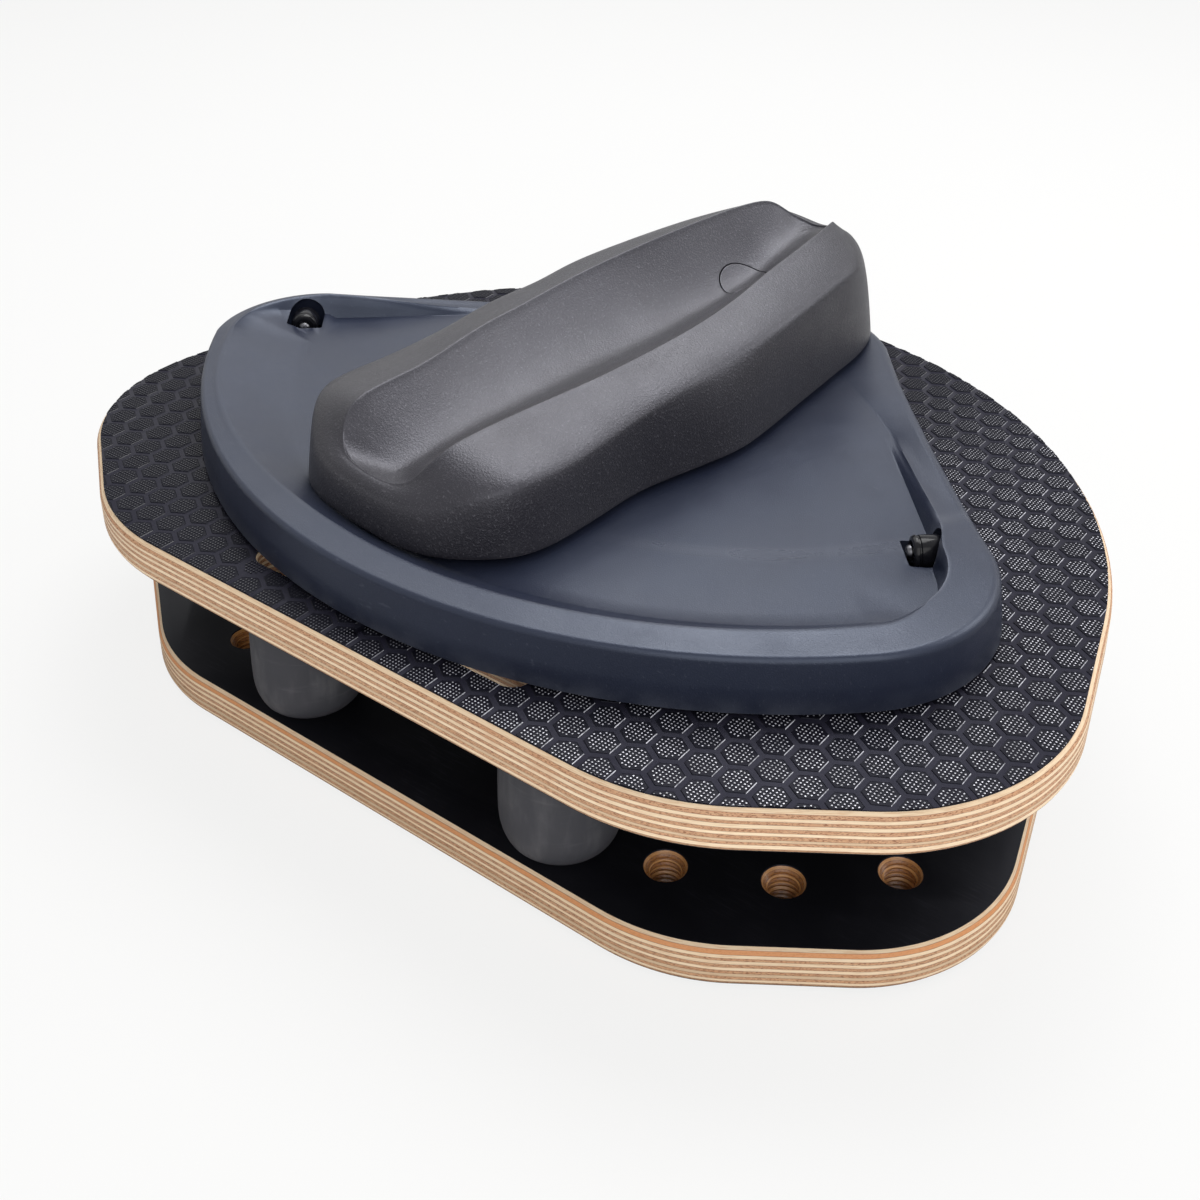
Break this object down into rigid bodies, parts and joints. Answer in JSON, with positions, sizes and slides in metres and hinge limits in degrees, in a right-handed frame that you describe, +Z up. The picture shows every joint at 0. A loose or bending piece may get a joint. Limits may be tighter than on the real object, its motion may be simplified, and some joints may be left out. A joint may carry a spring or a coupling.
{
  "type": "bicycle trainer rocker plate",
  "caption": "Plywood rocker riser on rubber buffers for a bicycle front wheel, with a swivelling wheel cradle on a steering plate",
  "frame": {"origin": "on the floor below the middle of the boards", "axes": "+Z up, -Y towards the front of the bicycle, X across the boards"},
  "size_m": [0.4556, 0.3408, 0.1678],
  "materials": {
    "plywood": "bare birch plies, sealed",
    "grip_film": "black phenolic film, hexagon grip pattern on the deck",
    "rubber": "black rubber, scuffed",
    "plate_shell": "satin moulded plastic, blue-grey",
    "cradle_shell": "fine-grained moulded plastic, charcoal",
    "black_plastic": "glossy black",
    "slide_plastic": "natural bearing plastic",
    "zinc_steel": "zinc plated",
    "brass": "plain brass"
  },
  "bodies": {
    "lower": {"lower_board": "plywood", "lower_top_film": "grip_film", "lower_under_film": "grip_film", "floor_pad_front": "rubber", "floor_pad_left": "rubber", "floor_pad_right": "rubber", "floor_pad_back": "rubber", "buffer_front_left": "rubber", "buffer_front_right": "rubber", "buffer_rear_left": "rubber", "buffer_rear_right": "rubber", "lower_stud_front_left": "zinc_steel", "lower_stud_front_right": "zinc_steel", "lower_stud_rear_left": "zinc_steel", "lower_stud_rear_right": "zinc_steel", "lower_nut_front_left": "zinc_steel", "lower_nut_front_right": "zinc_steel", "lower_nut_rear_left": "zinc_steel", "lower_nut_rear_right": "zinc_steel"},
    "upper": {"upper_board": "plywood", "upper_grip_film": "grip_film", "upper_under_film": "grip_film", "upper_stud_front_left": "zinc_steel", "upper_stud_front_right": "zinc_steel", "upper_stud_rear_left": "zinc_steel", "upper_stud_rear_right": "zinc_steel", "upper_insert_front_left": "brass", "upper_insert_front_right": "brass", "upper_insert_rear_left": "brass", "upper_insert_rear_right": "brass", "steering_plate": "plate_shell", "plate_foot_apex": "rubber", "plate_foot_corner_left": "rubber", "plate_foot_corner_right": "rubber", "plate_foot_front_left": "rubber", "plate_foot_front_right": "rubber", "corner_roller_left": "black_plastic", "corner_roller_right": "black_plastic", "roller_screw_left": "zinc_steel", "roller_screw_right": "zinc_steel", "spindle": "zinc_steel", "thrust_washer": "slide_plastic", "swivel_washer": "zinc_steel", "swivel_screw": "zinc_steel"},
    "cradle": {"wheel_cradle": "cradle_shell", "swivel_bush": "slide_plastic", "swivel_cap": "cradle_shell", "glide_left": "slide_plastic", "glide_right": "slide_plastic"}
  },
  "joints": [
    {"name": "rock", "type": "hinge", "parent": "lower", "child": "upper", "pos_m": [0, 0, 0.04775], "axis": [0, 1, 0], "range_deg": [-6, 6], "stiffness_Nm_per_rad": 400, "deforming": ["buffer_front_left", "buffer_front_right", "buffer_rear_left", "buffer_rear_right"]},
    {"name": "steer", "type": "hinge", "parent": "upper", "child": "cradle", "pos_m": [0, 0.0885, 0.12], "axis": [0, 0, 1], "range_deg": [-26, 34]}
  ]
}
